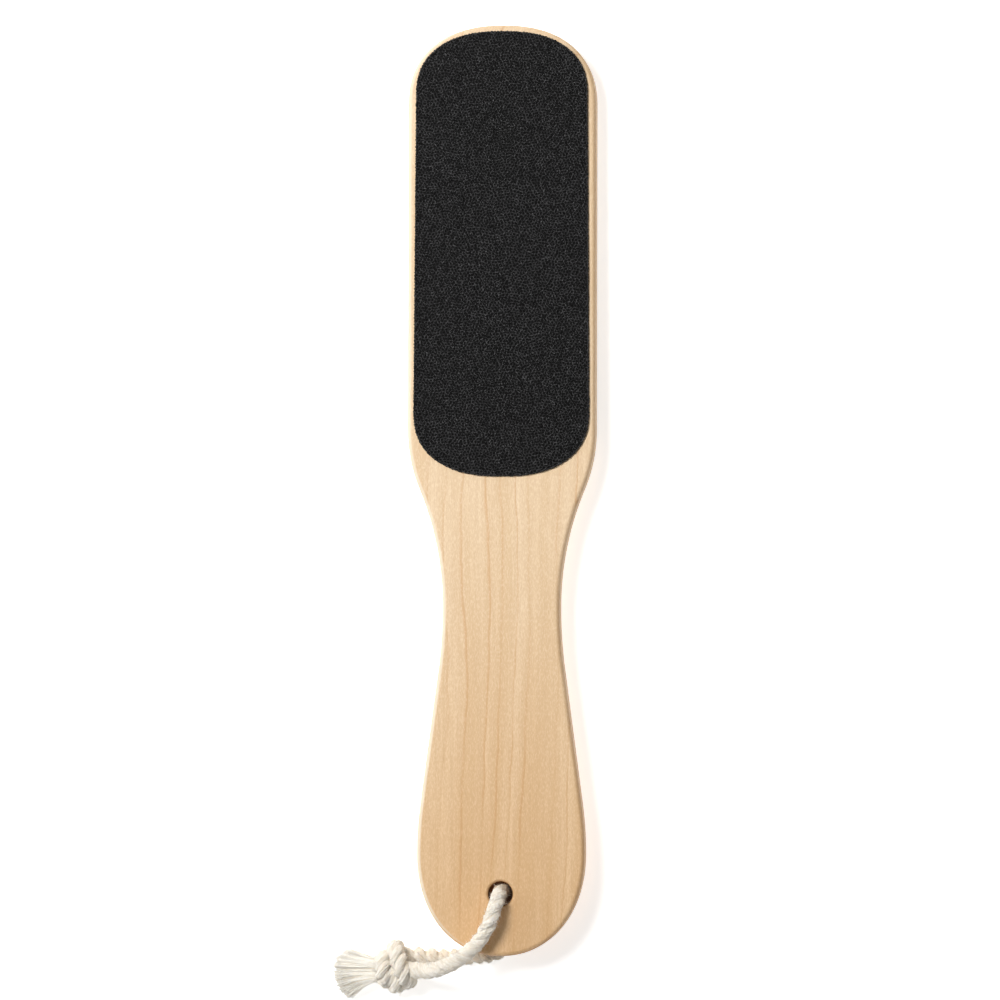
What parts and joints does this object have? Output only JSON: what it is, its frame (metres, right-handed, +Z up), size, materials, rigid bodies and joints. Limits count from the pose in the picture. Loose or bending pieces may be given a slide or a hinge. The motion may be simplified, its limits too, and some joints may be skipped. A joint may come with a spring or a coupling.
{
  "type": "foot file",
  "caption": "Wooden paddle foot file with dark abrasive sheets on its faces and a knotted white rope loop through the end of its handle.",
  "frame": {"origin": "on the surface that the file lies on, under the middle of the paddle", "axes": "+Y along the paddle towards the blade's tip, +X across it to the right as seen from the front, +Z up from the surface, out of the front face. The paddle is tipped by 1.28 degrees about X, because the rope's lower run lifts its handle."},
  "size_m": [0.073, 0.2721, 0.0213],
  "materials": {
    "wood": "fine sanded, satin",
    "adhesive": "thin glue film",
    "backing": "resin-filled cloth",
    "coarse_grit": "coarse grains in dark resin",
    "fine_grit": "fine grains in dark resin",
    "rope": "laid cotton, matt"
  },
  "bodies": {
    "paddle": {"wooden_paddle": "wood", "front_adhesive_film": "adhesive", "front_backing_sheet": "backing", "front_grit_coat": "coarse_grit", "back_adhesive_film": "adhesive", "back_backing_sheet": "backing", "back_grit_coat": "fine_grit"},
    "hanging_loop": {"rope_front_run": "rope", "rope_back_run": "rope", "rope_knot": "rope", "upper_frayed_end": "rope", "lower_frayed_end": "rope"}
  },
  "joints": [
    {"name": "loop_swing", "type": "hinge", "parent": "paddle", "child": "hanging_loop", "pos_m": [0, -0.11257, 0.0103], "axis": [0, 0.0224, 0.9997], "range_deg": [-45, 115]}
  ]
}
